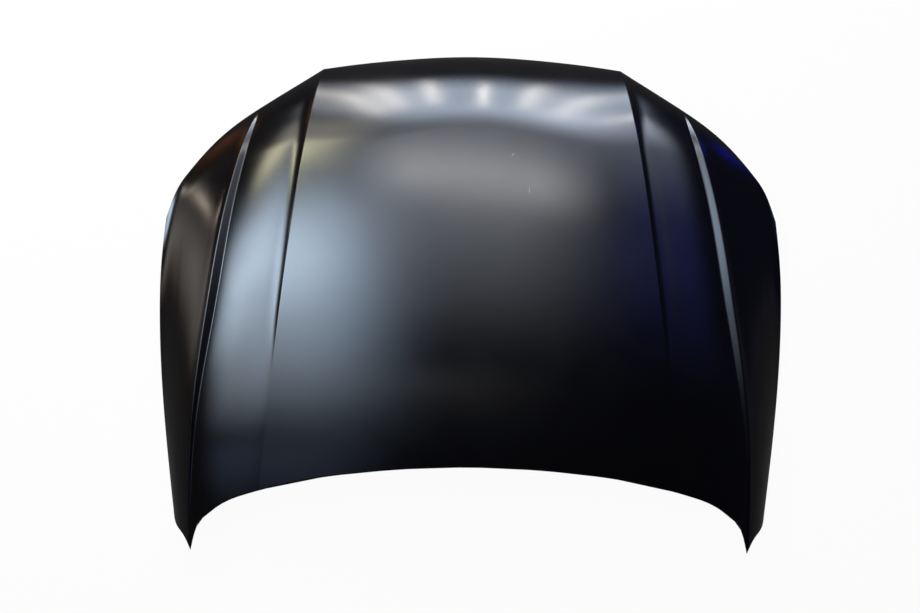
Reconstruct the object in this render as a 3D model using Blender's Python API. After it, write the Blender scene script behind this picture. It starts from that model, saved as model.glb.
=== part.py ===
"""Car bonnet in pressed sheet steel, lying skin side up on the floor.

+Z is up, +Y points to the nose and +X to the right-hand side.  The origin is
on the floor under the middle of the bonnet.  One lattice of points lies on
the skin: its columns run from the windscreen edge to the nose along the
styling lines, and its rows run across.  The sheets below the skin are set
off from that lattice along its normals, so they keep their clearances when a
size is changed.
"""

import math

import bpy
import numpy as np
from mathutils import Matrix, Vector

MM = 0.001

# Overall size.
WIDTH = 1.703
LENGTH = 1.360
HALF = WIDTH / 2
NOSE_Y = LENGTH / 2
TAIL_Y = -LENGTH / 2

# Outline in plan, right half: x from the centreline, y along the length.
DOME_CORNER = (0.4165, NOSE_Y - 0.0395)
VALLEY_FRONT = (0.580, NOSE_Y - 0.1567)
FRONT_CORNER = (HALF - 0.014, NOSE_Y - 0.471)
SIDE_MIDDLE = (HALF, -0.030)
REAR_CORNER = (HALF - 0.056, TAIL_Y + 0.081)
HORN_TIP = (HALF - 0.1247, TAIL_Y)
REAR_MIDDLE = (0, TAIL_Y + 0.2207)
NOSE_POINTS = ((0, NOSE_Y), (0.230, NOSE_Y - 0.0116), (0.350, NOSE_Y - 0.027), DOME_CORNER)
LAMP_POINTS = (DOME_CORNER, VALLEY_FRONT, (HALF - 0.1465, NOSE_Y - 0.2578), (HALF - 0.0665, NOSE_Y - 0.3513),
               (HALF - 0.0347, NOSE_Y - 0.407), FRONT_CORNER)
SIDE_POINTS = (REAR_CORNER, (HALF - 0.0173, TAIL_Y + 0.380), SIDE_MIDDLE, (HALF - 0.003, NOSE_Y - 0.580),
               FRONT_CORNER)
HORN_POINTS = (HORN_TIP, (HALF - 0.1095, TAIL_Y + 0.026), (HALF - 0.0875, TAIL_Y + 0.048),
               (HALF - 0.0655, TAIL_Y + 0.067), REAR_CORNER)
REAR_POINTS = (REAR_MIDDLE, (0.250, TAIL_Y + 0.2081), (0.450, TAIL_Y + 0.1792), (0.580, TAIL_Y + 0.1458),
               (0.652, TAIL_Y + 0.1145), (HALF - 0.1589, TAIL_Y + 0.0838), (HALF - 0.138, TAIL_Y + 0.053),
               HORN_TIP)

# Styling lines in plan, from the windscreen edge to the nose.
DOME_REAR = (0.548, TAIL_Y + 0.103)
DOME_MIDDLE = (0.498, -0.020)
DOME_FRONT = (0.452, 0.400)
VALLEY_REAR = (0.723, -0.390)
VALLEY_MIDDLE = (0.675, -0.013)
VALLEY_FORWARD = (0.636, 0.270)
FACET_WIDTH = 20.5 * MM
FACET_MIDDLE_Y = 0.120
FACET_FADE = 0.220
FACET_TIP_RUN = 0.070
CREST_WIDTH = 13 * MM
LINE_GAP = 3 * MM

# Heights of the skin above the lowest styling point.
CROWN_HEIGHT = 0.190
CROWN_PEAK_Y = -0.280
LENGTH_RADIUS = 5.0
CROSS_RADIUS = 3.2
STEP_HEIGHT = 7 * MM
STEP_WIDTH = 20 * MM
STEP_END_Y = -0.400
SHOULDER_CROWN = 5.5 * MM
FACET_RISE = 13 * MM
CREST_FALL = 4 * MM
SIDE_HEIGHT_REAR = 0.0
SIDE_HEIGHT_FRONT = 0.030
LAMP_HEIGHT = 0.034
DOME_CORNER_HEIGHT = 0.006
NOSE_ROLL_LENGTH = 0.240
LAMP_ROLL_LENGTH = 0.150
CORNER_ROLL_LENGTH = 0.090
NOSE_ROLL = 0.93
SIDE_ROLL = 0.90
SIDE_LEAN = 0.35

# Sheets and their folds.
SKIN_THICKNESS = 0.8 * MM
FRAME_THICKNESS = 0.7 * MM
CLEARANCE = 0.3 * MM
HEM_WIDTH = 10 * MM
WALL_RUN = 12 * MM
INSETS = (0, SKIN_THICKNESS, HEM_WIDTH, HEM_WIDTH + WALL_RUN)

# Pressed inner frame.
CHANNEL_DEPTH = 20 * MM
LAND_DEPTH = 5 * MM
LAND_WIDTH = 16 * MM
RIB_FLOOR = 28 * MM
RIB_X = 0.245
REAR_BEAM = 130 * MM
CROSS_RIB_RUN = 0.520
NOSE_BEAM_RUN = 0.830

# Hinge and striker seats.
BOLT_DIAMETER = 8 * MM
BOLT_CLEARANCE = 1 * MM
BOLT_HEAD_FLATS = 13 * MM
BOLT_HEAD_HEIGHT = 5.5 * MM
NUT_HEIGHT = 6.5 * MM
PLATE_THICKNESS = 1.5 * MM
PLATE_CORNER = 6 * MM
HINGE_PAD_DEPTH = 19 * MM
HINGE_BOLT_PITCH = 60 * MM
HINGE_BOLT_EDGE = 15 * MM
HINGE_PLATE_SIZE = (38 * MM, HINGE_BOLT_PITCH + 2 * HINGE_BOLT_EDGE)
STRIKER_PAD_DEPTH = 24 * MM
STRIKER_PAD_TILT = 12
STRIKER_BOLT_PITCH = 52 * MM
STRIKER_BOLT_EDGE = 11 * MM
STRIKER_PLATE_SIZE = (STRIKER_BOLT_PITCH + 2 * STRIKER_BOLT_EDGE, 48 * MM)
STRIKER_PLATE_THICKNESS = 2 * MM
LOOP_ROD = 9 * MM
LOOP_SPAN = 34 * MM
LOOP_LENGTH = 40 * MM

# Mastic dabs between the skin and the frame's lands.
DAB_RADIUS = 6 * MM
DAB_SIDES = 8
DAB_ROWS = {"rear": 7, "front": 12}

# Lattice columns of one half, and its rows.
DOME, FOOT, VALLEY, RIDGE, CREST = 3, 4, 9, 10, 11
START, HEM, WALL, SIDE = 14, 15, 16, 17
NOSE_SHARES = (0.18, 0.36, 0.52, 0.66, 0.78, 0.89)
HINGE_COLUMNS = (5, 7)
HINGE_ROWS = (3, 5)
STRIKER_ROWS = (17, 19)
WINDOW_ROWS = ((6, 8), (11, 13))
ROUND_SIDES = 16
ROD_SIDES = 12
FLANGE = -1

# Step along a column for reading its direction, and the sharpest corner that an inset follows.
PROBE = 0.004
SHARPEST_SINE = 0.3

# Shares of a lattice cell: the reach of a pad's edge, lines taken as one, and a step for a scale.
PAD_REACH = 0.01
SAME_LINE = 0.02
CELL_PROBE = 0.1


def through(*points):
    """Return the natural cubic spline through (position, value) points, by position."""
    place = np.array([p[0] for p in points])
    value = np.array([p[1] for p in points])
    span = np.diff(place)
    chord = np.diff(value) / span
    system = np.eye(len(points))
    turn = np.zeros(len(points))
    for i in range(1, len(points) - 1):
        system[i, i - 1:i + 2] = span[i - 1], 2 * (span[i - 1] + span[i]), span[i]
        turn[i] = 6 * (chord[i] - chord[i - 1])
    bend = np.linalg.solve(system, turn)

    def curve(at):
        i = int(np.clip(np.searchsorted(place, at) - 1, 0, len(span) - 1))
        ahead = (at - place[i]) / span[i]
        behind = 1 - ahead
        bow = (behind**3 - behind) * bend[i] + (ahead**3 - ahead) * bend[i + 1]
        return behind * value[i] + ahead * value[i + 1] + bow * span[i] ** 2 / 6

    return curve


def mirrored(*points):
    """Return a smooth even curve: its first point lies on the centreline."""
    outer = [p for p in points if p[0] > 0]
    return through(*[(-p[0], p[1]) for p in reversed(outer)], *points)


def swapped(*points):
    """Return plan points as (y, x), for a line that runs along the length."""
    return [(y, x) for x, y in points]


def mix(first, second, share):
    """Return the value that lies a share of the way between two values."""
    return first + (second - first) * share


def roll(share, sharpness):
    """Return the fall of a rounded edge, 0 at its start and 1 at its end."""
    share = min(max(share, 0.0), 1.0)
    fall = 1 - math.sqrt(1 - (sharpness * share) ** 2)
    return fall / (1 - math.sqrt(1 - sharpness**2))


nose_edge = mirrored(*NOSE_POINTS)
lamp_edge = through(*LAMP_POINTS)
rear_edge = mirrored(*REAR_POINTS)
horn_edge = through(*HORN_POINTS)
side_line = through(*swapped(*SIDE_POINTS))
dome_line = through(*swapped(DOME_REAR, DOME_MIDDLE, DOME_FRONT, DOME_CORNER))
valley_line = through(*swapped(HORN_TIP, VALLEY_REAR, VALLEY_MIDDLE, VALLEY_FORWARD, VALLEY_FRONT))
side_height = through((REAR_CORNER[1], SIDE_HEIGHT_REAR), (SIDE_MIDDLE[1], SIDE_HEIGHT_FRONT / 2),
                      (FRONT_CORNER[1], SIDE_HEIGHT_FRONT))
front_height = mirrored((0, 0), (DOME_CORNER[0], DOME_CORNER_HEIGHT), (VALLEY_FRONT[0], LAMP_HEIGHT),
                        (FRONT_CORNER[0], SIDE_HEIGHT_FRONT))
roll_length = mirrored((0, NOSE_ROLL_LENGTH), (DOME_CORNER[0], NOSE_ROLL_LENGTH),
                       (VALLEY_FRONT[0], LAMP_ROLL_LENGTH), (FRONT_CORNER[0], CORNER_ROLL_LENGTH))
facet_share = through((HORN_TIP[1], 0), (VALLEY_REAR[1], 0.38), (FACET_MIDDLE_Y - FACET_FADE, 0.92),
                      (FACET_MIDDLE_Y, 1), (FACET_MIDDLE_Y + FACET_FADE, 0.74),
                      (VALLEY_FRONT[1] - FACET_TIP_RUN, 0.45), (VALLEY_FRONT[1], 0))


def facet_width(y):
    """Return the width of the inward facing facet beside the valley line."""
    return LINE_GAP + (FACET_WIDTH - LINE_GAP) * facet_share(y)


def step_height(y):
    """Return how far the dome stands above the shoulder beside it."""
    run = (y - STEP_END_Y) / (DOME_MIDDLE[1] - STEP_END_Y)
    run = min(max(run, 0.0), 1.0)
    return STEP_HEIGHT * run * run * (3 - 2 * run)


def rear_y(x):
    """Return the windscreen edge in plan, and past the tip the horn's edge."""
    return rear_edge(x) if x <= HORN_TIP[0] else horn_edge(x)


def front_y(x):
    """Return the nose edge in plan, and past the dome the lamp edge."""
    return nose_edge(x) if x <= DOME_CORNER[0] else lamp_edge(x)


STYLING = {
    "centre": lambda y: 0.0,
    "dome": dome_line,
    "foot": lambda y: dome_line(y) + STEP_WIDTH,
    "valley": valley_line,
    "ridge": lambda y: valley_line(y) + facet_width(y),
    "crest": lambda y: valley_line(y) + facet_width(y) + CREST_WIDTH,
    "side": side_line,
}

# Each column lies between two styling lines, at a share for its rear end and its front end.
COLUMNS = (
    ("centre", "centre", 0, 0),
    ("centre", "dome", 0.34, 0.34),
    ("centre", "dome", 0.67, 0.67),
    ("dome", "dome", 0, 0),
    ("foot", "foot", 0, 0),
    ("foot", "valley", 0.28, 0.22),
    ("foot", "valley", 0.54, 0.44),
    ("foot", "valley", 0.77, 0.66),
    ("foot", "valley", 0.92, 0.86),
    ("valley", "valley", 0, 0),
    ("ridge", "ridge", 0, 0),
    ("crest", "crest", 0, 0),
    ("crest", "side", 0.25, 0.32),
    ("crest", "side", 0.55, 0.64),
)
SIDE_COLUMN = ("side", "side", 0, 0)


def line_ends(line):
    """Return the y at which a styling line meets the rear and front edges."""
    rear, front = REAR_CORNER[1], VALLEY_FRONT[1]
    for _ in range(20):
        rear = rear_y(STYLING[line](rear))
        front = front_y(STYLING[line](front))
    return rear, front


ENDS = {line: line_ends(line) for line in STYLING}


def line_point(line, share):
    """Return the plan point a share of the way along a styling line."""
    y = mix(*ENDS[line], share)
    return STYLING[line](y), y


def column_plan(column, share):
    """Return the plan point a share of the way along a lattice column."""
    left, right, rear_share, front_share = column

    def across(at):
        between = mix(rear_share, front_share, at)
        return mix(line_point(left, at)[0], line_point(right, at)[0], between)

    return across(share), mix(rear_y(across(0)), front_y(across(1)), share)


def crown(x, y, drop):
    """Return the height of the main crown, lowered by a drop."""
    length_fall = (y - CROWN_PEAK_Y) ** 2 / (2 * LENGTH_RADIUS)
    return CROWN_HEIGHT - length_fall - x * x / (2 * CROSS_RADIUS) - drop


def shoulder_rise(x, share):
    """Return how far the shoulder bows up between the dome's line and the valley."""
    dome_x, valley_x = line_point("dome", share)[0], line_point("valley", share)[0]
    over = min(max((x - dome_x) / (valley_x - dome_x), 0.0), 1.0)
    return 4 * SHOULDER_CROWN * over * (1 - over)


def facet_height(column, share, y):
    """Return the height that the facet and the crest behind it add to a column."""
    left, _, rear_share, front_share = column
    if left == "ridge":
        return FACET_RISE * facet_share(y)
    if left == "crest":
        behind = 1 - mix(rear_share, front_share, share)
        return (FACET_RISE - CREST_FALL) * behind * facet_share(y)
    return 0.0


def body_height(x, y, share, past_foot):
    """Return the height of the skin before the nose roll."""
    side_x, side_y = line_point("side", share)
    ridge_x = line_point("ridge", share)[0]
    out = min(max((x - ridge_x) / (side_x - ridge_x), 0.0), 1.0)
    fall = mix(roll(out, SIDE_ROLL), out, SIDE_LEAN)
    drop = step_height(y) - shoulder_rise(x, share) if past_foot else 0.0
    side_drop = step_height(side_y) if past_foot else 0.0
    edge_fall = crown(side_x, side_y, side_drop) - side_height(side_y)
    return crown(x, y, drop) - edge_fall * fall


def skin_point(column, share, creased=True):
    """Return a point of the skin, with or without its step and facets."""
    x, y = column_plan(column, share)
    rear = column_plan(column, 0)[1]
    front_x, front = column_plan(column, 1)
    past_foot = creased and column[0] not in ("centre", "dome")
    start = 1 - roll_length(front_x) / (front - rear)
    rolled = roll((share - start) / (1 - start), NOSE_ROLL)
    edge_fall = body_height(front_x, front, 1, past_foot) - front_height(front_x)
    z = body_height(x, y, share, past_foot) - edge_fall * rolled
    if creased:
        z += facet_height(column, share, y) * (1 - rolled)
    return np.array([x, y, z])


def sine(first, second):
    """Return the sine of the angle between two directions, not below a limit."""
    area = np.linalg.norm(np.cross(first, second))
    return max(area / np.linalg.norm(first) / np.linalg.norm(second), SHARPEST_SINE)


def side_column(inset, share):
    """Return the column that runs beside the side edge at an inset."""
    inner = skin_point(COLUMNS[-1], share)
    outer = skin_point(SIDE_COLUMN, share)
    ahead = skin_point(SIDE_COLUMN, share + (PROBE if share < 0.5 else -PROBE))
    run = outer - inner
    between = 1 - inset / np.linalg.norm(run) / sine(run, ahead - outer)
    left, right, rear_share, front_share = COLUMNS[-1]
    at = mix(mix(rear_share, front_share, share), 1, between)
    return left, right, at, at


def middle_rows():
    """Return the rows between the edge channels, as (run, depth) from the rear edge."""
    beam = INSETS[-1] + REAR_BEAM
    rib_wall = RIB_FLOOR / 2 + WALL_RUN
    first = [(INSETS[-1] + REAR_BEAM / 2, CHANNEL_DEPTH), (beam, CHANNEL_DEPTH), (beam + WALL_RUN, LAND_DEPTH)]
    rib = [(CROSS_RIB_RUN - rib_wall, LAND_DEPTH), (CROSS_RIB_RUN - RIB_FLOOR / 2, CHANNEL_DEPTH),
           (CROSS_RIB_RUN + RIB_FLOOR / 2, CHANNEL_DEPTH), (CROSS_RIB_RUN + rib_wall, LAND_DEPTH)]
    last = [(NOSE_BEAM_RUN - WALL_RUN, LAND_DEPTH), (NOSE_BEAM_RUN, CHANNEL_DEPTH)]
    rear_window = [(mix(first[-1][0], rib[0][0], 0.5), LAND_DEPTH)]
    front_window = [(mix(rib[-1][0], last[0][0], 0.5), LAND_DEPTH)]
    rows = first + rear_window + rib + front_window + last
    end = NOSE_Y - REAR_MIDDLE[1] - INSETS[-1] / 2
    return rows + [(mix(NOSE_BEAM_RUN, end, share), CHANNEL_DEPTH) for share in NOSE_SHARES]


def middle_shares():
    """Return the same rows as shares of the length between the edge channels."""
    start, end = INSETS[-1], NOSE_Y - REAR_MIDDLE[1] - INSETS[-1] / 2
    return [(run - start) / (end - start) for run, _ in middle_rows()]


LAST_ROW = len(middle_rows()) + 2 * len(INSETS) - 1


class Lattice:
    """Points and normals on the skin, by column from left to right and row."""

    def __init__(self):
        creased = self.grid(True)
        plain = self.grid(False)
        self.points = np.concatenate((creased[:0:-1] * (-1, 1, 1), creased))
        smooth = np.concatenate((plain[:0:-1] * (-1, 1, 1), plain))
        along_x = np.gradient(smooth, axis=0)
        along_y = np.gradient(smooth, axis=1)
        normals = np.cross(along_x, along_y)
        self.normals = normals / np.linalg.norm(normals, axis=2)[:, :, None]
        lowest = (self.points - self.normals * hem_depth())[:, :, 2].min()
        self.points -= (0, (NOSE_Y + HORN_TIP[1]) / 2, min(lowest, self.points[:, :, 2].min()))

    def grid(self, creased):
        """Return the right half's points, by column and row."""
        rows = []
        for index in range(SIDE + 1):
            shares = self.row_shares(index)
            rows.append([self.point(index, share, creased) for share in shares])
        return np.array(rows)

    def point(self, index, share, creased=True):
        """Return the point of a column, given by its index, at a share."""
        if index < START:
            return skin_point(COLUMNS[index], share, creased)
        if index == SIDE:
            return skin_point(SIDE_COLUMN, share, creased)
        return skin_point(side_column(INSETS[SIDE - index], share), share, creased)

    def row_shares(self, index):
        """Return a column's row positions, with the hem's rows at each end."""
        rear = [self.end_share(index, 0, inset) for inset in INSETS]
        front = [self.end_share(index, 1, inset) for inset in reversed(INSETS)]
        return rear + [mix(rear[-1], front[0], share) for share in middle_shares()] + front

    def end_share(self, index, end, inset):
        """Return the share at which a column is an inset away from an edge."""
        step = PROBE if end == 0 else -PROBE
        here = self.point(index, end)
        run = self.point(index, end + step) - here
        beside = [self.point(k, end) - here for k in (index - 1, index + 1) if 0 <= k <= SIDE]
        return end + step * inset / np.linalg.norm(run) / min(sine(run, edge) for edge in beside)

    def at(self, column, row, depth=0.0):
        """Return a point below the skin at a fractional column and row."""
        place, normal = self.between(self.points, column, row), self.between(self.normals, column, row)
        return place - depth * normal

    def between(self, table, column, row):
        """Return a value read between the lattice's points."""
        i = int(min(max(math.floor(column + SIDE), 0), 2 * SIDE - 1))
        j = int(min(max(math.floor(row), 0), LAST_ROW - 1))
        u, v = column + SIDE - i, row - j
        low = mix(table[i, j], table[i + 1, j], u)
        high = mix(table[i, j + 1], table[i + 1, j + 1], u)
        return mix(low, high, v)

    def column_at(self, x):
        """Return the fractional column at a distance from the centreline."""
        middle = self.points[SIDE:, LAST_ROW // 2, 0]
        return float(np.interp(x, middle, np.arange(SIDE + 1)))


def hem_depth():
    """Return the whole thickness of the folded edge."""
    return 2 * SKIN_THICKNESS + FRAME_THICKNESS + 2 * CLEARANCE


def material(name, colour, roughness, metallic=0.0):
    """Return a plain material with a base colour."""
    made = bpy.data.materials.new(name)
    made.use_nodes = True
    shader = made.node_tree.nodes["Principled BSDF"]
    shader.inputs["Base Color"].default_value = (*colour, 1)
    shader.inputs["Roughness"].default_value = roughness
    shader.inputs["Metallic"].default_value = metallic
    return made


def add_mesh(name, vertices, faces, finish):
    """Add a named object from vertices and faces, and return it."""
    mesh = bpy.data.meshes.new(name)
    mesh.from_pydata([tuple(v) for v in vertices], [], faces)
    mesh.materials.append(finish)
    made = bpy.data.objects.new(name, mesh)
    bpy.context.scene.collection.objects.link(made)
    return made


class Faces:
    """Triangles between keyed points, gathered for one mesh."""

    def __init__(self, place):
        self.place = place
        self.keys = {}
        self.faces = []

    def quad(self, a, b, c, d):
        """Add the quad a, b, c, d as two triangles split along a to c."""
        a, b, c, d = (self.keys.setdefault(key, len(self.keys)) for key in (a, b, c, d))
        self.faces += [(a, b, c), (a, c, d)]

    def cell(self, i, j, level, up, left):
        """Add one cell at a level, facing up or down; the left half mirrors the right's split."""
        corners = [(i, j, level), (i + 1, j, level), (i + 1, j + 1, level), (i, j + 1, level)]
        if left:
            corners = corners[1:] + corners[:1]
        if not up:
            corners = [corners[0], corners[3], corners[2], corners[1]]
        self.quad(*corners)

    def wall(self, start, end, upper, lower):
        """Add the wall below an edge, facing right of its direction."""
        self.quad((*start, upper), (*start, lower), (*end, lower), (*end, upper))

    def object(self, name, finish):
        """Add the gathered triangles as an object."""
        return add_mesh(name, [self.place(key) for key in self.keys], self.faces, finish)


def ring(inset):
    """Return the lattice points round the edge, seen from above anticlockwise."""
    low, high = inset, 2 * SIDE - inset
    top = LAST_ROW - inset
    points = [(i, low) for i in range(low, high)]
    points += [(high, j) for j in range(low, top)]
    points += [(i, top) for i in range(high, low, -1)]
    points += [(low, j) for j in range(top, low, -1)]
    return points


def make_skin(lattice, finish):
    """Add the outer skin, with its edge folded back under the inner frame."""
    fold = hem_depth()
    levels = {"top": 0, "under": SKIN_THICKNESS, "slot": fold - SKIN_THICKNESS, "fold": fold}
    faces = Faces(lambda key: lattice.at(key[0] - SIDE, key[1], levels[key[2]]))
    for i in range(2 * SIDE):
        for j in range(LAST_ROW):
            inset = min(i, j, 2 * SIDE - 1 - i, LAST_ROW - 1 - j)
            left = i < SIDE
            faces.cell(i, j, "top", True, left)
            if inset >= 1:
                faces.cell(i, j, "under", False, left)
            if inset <= 1:
                faces.cell(i, j, "fold", False, left)
            if inset == 1:
                faces.cell(i, j, "slot", True, left)
    for inset, upper, lower, outward in ((0, "top", "fold", True), (1, "under", "slot", False),
                                         (2, "slot", "fold", False)):
        points = ring(inset)
        for start, end in zip(points, points[1:] + points[:1]):
            if outward:
                faces.wall(start, end, upper, lower)
            else:
                faces.wall(end, start, upper, lower)
    return faces.object("outer_skin", finish)


class Pad:
    """A flat seat on the inner frame, with its own axes and its lattice range."""

    def __init__(self, lattice, columns, rows, depth, tilt=None):
        self.columns, self.rows = columns, rows
        centre = (sum(columns) / 2, sum(rows) / 2)
        self.origin = lattice.at(*centre, depth)
        normal = lattice.between(lattice.normals, *centre)
        if tilt is not None:
            normal = np.array([0, math.sin(math.radians(tilt)), math.cos(math.radians(tilt))])
        self.normal = normal / np.linalg.norm(normal)
        along = lattice.at(centre[0], rows[1]) - lattice.at(centre[0], rows[0])
        side = np.cross(along, self.normal)
        self.side = side / np.linalg.norm(side)
        self.along = np.cross(self.normal, self.side)

    def holds(self, column, row):
        """Say whether a lattice point belongs to the pad."""
        return (self.columns[0] - PAD_REACH <= column <= self.columns[1] + PAD_REACH
                and self.rows[0] - PAD_REACH <= row <= self.rows[1] + PAD_REACH)

    def flatten(self, point, normal):
        """Return a point moved along a normal onto the pad's plane."""
        return point - normal * (np.dot(point - self.origin, self.normal) / np.dot(normal, self.normal))

    def matrix(self, side=0.0, along=0.0, up=0.0):
        """Return the placing of a piece on the pad, its Z towards the skin."""
        place = self.origin + side * self.side + along * self.along + up * self.normal
        axes = np.array([self.side, self.along, self.normal]).T
        turned = Matrix([list(row) for row in axes]).to_4x4()
        return Matrix.Translation(Vector(place)) @ turned


def merged(lines):
    """Return lines in order, without those that nearly repeat another."""
    kept = []
    for line in sorted(lines):
        if not kept or line[0] - kept[-1][0] > SAME_LINE:
            kept.append(line)
    return kept


def rib_lines(place, centre, floor):
    """Return a rib's lines, as (place, depth), from land edge to land edge."""
    lines = []
    for sign in (-1, 1):
        for reach, depth in ((floor / 2, CHANNEL_DEPTH), (floor / 2 + WALL_RUN, LAND_DEPTH),
                             (floor / 2 + WALL_RUN + LAND_WIDTH, LAND_DEPTH)):
            lines.append((place(centre + sign * reach), depth))
    return lines


def frame_columns(lattice):
    """Return the frame's columns as (column, depth) for the right half."""
    edge = WALL - CLEARANCE / (HEM_WIDTH - SKIN_THICKNESS)
    lines = [line for line in rib_lines(lattice.column_at, 0, RIB_FLOOR) if line[0] > 0]
    lines += [(0, CHANNEL_DEPTH), (1, LAND_DEPTH), (2, LAND_DEPTH)]
    lines += rib_lines(lattice.column_at, RIB_X, RIB_FLOOR)
    middle = lattice.points[SIDE:, LAST_ROW // 2, 0]
    step_middle, step_floor = (middle[DOME] + middle[FOOT]) / 2, middle[FOOT] - middle[DOME]
    lines += rib_lines(lattice.column_at, step_middle, step_floor)
    lines += [(k, LAND_DEPTH) for k in range(FOOT + 1, CREST + 1)]
    lines += [(k, CHANNEL_DEPTH) for k in range(CREST + 1, HEM)]
    lines += [(HEM, FLANGE), (edge, FLANGE)]
    return merged(lines)


def frame_rows():
    """Return the frame's rows as (row, depth), from the rear to the nose."""
    inset = 1 + CLEARANCE / (HEM_WIDTH - SKIN_THICKNESS)
    lines = [(inset, FLANGE), (2, FLANGE), (3, CHANNEL_DEPTH)]
    lines += [(len(INSETS) + index, depth) for index, (_, depth) in enumerate(middle_rows())]
    return lines + [(LAST_ROW - 3, CHANNEL_DEPTH), (LAST_ROW - 2, FLANGE), (LAST_ROW - inset, FLANGE)]


def open_strips(lines, spans):
    """Return the strips between lines that lie inside one of the spans."""
    found = set()
    for index, (low, high) in enumerate(zip(lines, lines[1:])):
        middle = (abs(low[0] + high[0])) / 2
        if any(start < middle < end for start, end in spans):
            found.add(index)
    return found


def make_frame(lattice, pads, finish):
    """Add the pressed inner frame, with its beams, ribs and open windows."""
    right = frame_columns(lattice)
    columns = [(-place, depth) for place, depth in reversed(right) if place > 0] + right
    rows = frame_rows()
    flange = SKIN_THICKNESS + CLEARANCE

    def place(key):
        (column, column_depth), (row, row_depth) = columns[key[0]], rows[key[1]]
        below = FRAME_THICKNESS if key[2] == "under" else 0
        for pad in pads:
            if pad.holds(column, row):
                normal = lattice.between(lattice.normals, column, row)
                return pad.flatten(lattice.at(column, row), normal) - below * pad.normal
        depth = flange if FLANGE in (column_depth, row_depth) else max(column_depth, row_depth)
        return lattice.at(column, row, depth + below)

    open_columns = open_strips(columns, window_columns(lattice))
    open_rows = open_strips(rows, WINDOW_ROWS)
    cells = {(i, j) for i in range(len(columns) - 1) for j in range(len(rows) - 1)
             if i not in open_columns or j not in open_rows}
    faces = Faces(place)
    for i, j in sorted(cells):
        left = columns[i][0] < 0
        faces.cell(i, j, "top", True, left)
        faces.cell(i, j, "under", False, left)
        edges = (((i, j - 1), (i, j), (i + 1, j)), ((i + 1, j), (i + 1, j), (i + 1, j + 1)),
                 ((i, j + 1), (i + 1, j + 1), (i, j + 1)), ((i - 1, j), (i, j + 1), (i, j)))
        for neighbour, start, end in edges:
            if neighbour not in cells:
                faces.wall(start, end, "top", "under")
    return faces.object("inner_frame", finish)


def window_columns(lattice):
    """Return the open spans between the frame's ribs, by column."""
    reach = RIB_FLOOR / 2 + WALL_RUN + LAND_WIDTH
    middle = lattice.points[SIDE:, LAST_ROW // 2, 0]
    step_reach = WALL_RUN + LAND_WIDTH
    return [(lattice.column_at(reach), lattice.column_at(RIB_X - reach)),
            (lattice.column_at(RIB_X + reach), lattice.column_at(middle[DOME] - step_reach)),
            (lattice.column_at(middle[FOOT] + step_reach), VALLEY - 1)]


def round_ring(radius, z, flats=False, sides=ROUND_SIDES):
    """Return a ring of points, round or, with flats, six-sided."""
    points = []
    for i in range(sides):
        turn = 2 * math.pi * i / sides
        reach = radius
        if flats:
            sixth = math.pi / 3
            reach = radius / math.cos((turn + sixth / 2) % sixth - sixth / 2)
        points.append((reach * math.cos(turn), reach * math.sin(turn), z))
    return points


def loft(name, rings, finish, bored=False):
    """Add a solid through rings from the top down; a bored one ends where it starts."""
    sides = len(rings[0])
    vertices = [point for points in rings for point in points]
    pairs = list(zip(range(len(rings)), range(1, len(rings))))
    if bored:
        pairs.append((len(rings) - 1, 0))
    faces = []
    for upper, lower in pairs:
        for i in range(sides):
            j = (i + 1) % sides
            faces.append((upper * sides + i, lower * sides + i, lower * sides + j, upper * sides + j))
    if not bored:
        faces.append(tuple(range(sides)))
        base = (len(rings) - 1) * sides
        faces.append(tuple(base + i for i in reversed(range(sides))))
    return add_mesh(name, vertices, faces, finish)


def cut(body, cutter):
    """Cut a body with a cutter and keep the cutter hidden."""
    cutter.hide_render = True
    cutter.display_type = "WIRE"
    modifier = body.modifiers.new("cut", "BOOLEAN")
    modifier.operation = "DIFFERENCE"
    modifier.solver = "EXACT"
    modifier.object = cutter


def drill(body, pad, offsets, radius, reach):
    """Drill round holes through a body, square to a pad."""
    for side, along in offsets:
        tool = loft(f"{body.name}_drill", [round_ring(radius, reach), round_ring(radius, -reach)],
                    body.data.materials[0])
        tool.matrix_world = pad.matrix(side, along)
        cut(body, tool)


def make_plate(name, pad, size, low, thickness, offsets, finish):
    """Add a flat plate with rounded corners and bolt holes on a pad."""
    corners = []
    for turn in range(4):
        cx = size[0] / 2 - PLATE_CORNER if turn in (0, 3) else PLATE_CORNER - size[0] / 2
        cy = size[1] / 2 - PLATE_CORNER if turn in (0, 1) else PLATE_CORNER - size[1] / 2
        for part in range(4):
            angle = math.pi / 2 * (turn + part / 3)
            corners.append((cx + PLATE_CORNER * math.cos(angle), cy + PLATE_CORNER * math.sin(angle)))
    rings = [[(x, y, z) for x, y in corners] for z in (low + thickness, low)]
    plate = loft(name, rings, finish)
    plate.matrix_world = pad.matrix()
    drill(plate, pad, offsets, (BOLT_DIAMETER + BOLT_CLEARANCE) / 2, 4 * thickness)
    return plate


def make_nut(name, pad, offset, low, finish):
    """Add a weld nut that stands on a plate, over its bolt hole."""
    bore, outer = BOLT_DIAMETER / 2 + CLEARANCE, BOLT_HEAD_FLATS / 2
    rings = [round_ring(outer, low + NUT_HEIGHT, True), round_ring(outer, low, True),
             round_ring(bore, low), round_ring(bore, low + NUT_HEIGHT)]
    nut = loft(name, rings, finish, bored=True)
    nut.matrix_world = pad.matrix(*offset)
    return nut


def make_bolt(name, pad, offset, head_top, length, finish):
    """Add a hexagon bolt whose head hangs below a plate."""
    shank, head = BOLT_DIAMETER / 2, BOLT_HEAD_FLATS / 2
    rings = [round_ring(shank, head_top + length), round_ring(shank, head_top),
             round_ring(head, head_top, True), round_ring(head, head_top - BOLT_HEAD_HEIGHT, True)]
    bolt = loft(name, rings, finish)
    bolt.matrix_world = pad.matrix(*offset)
    return bolt


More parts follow.
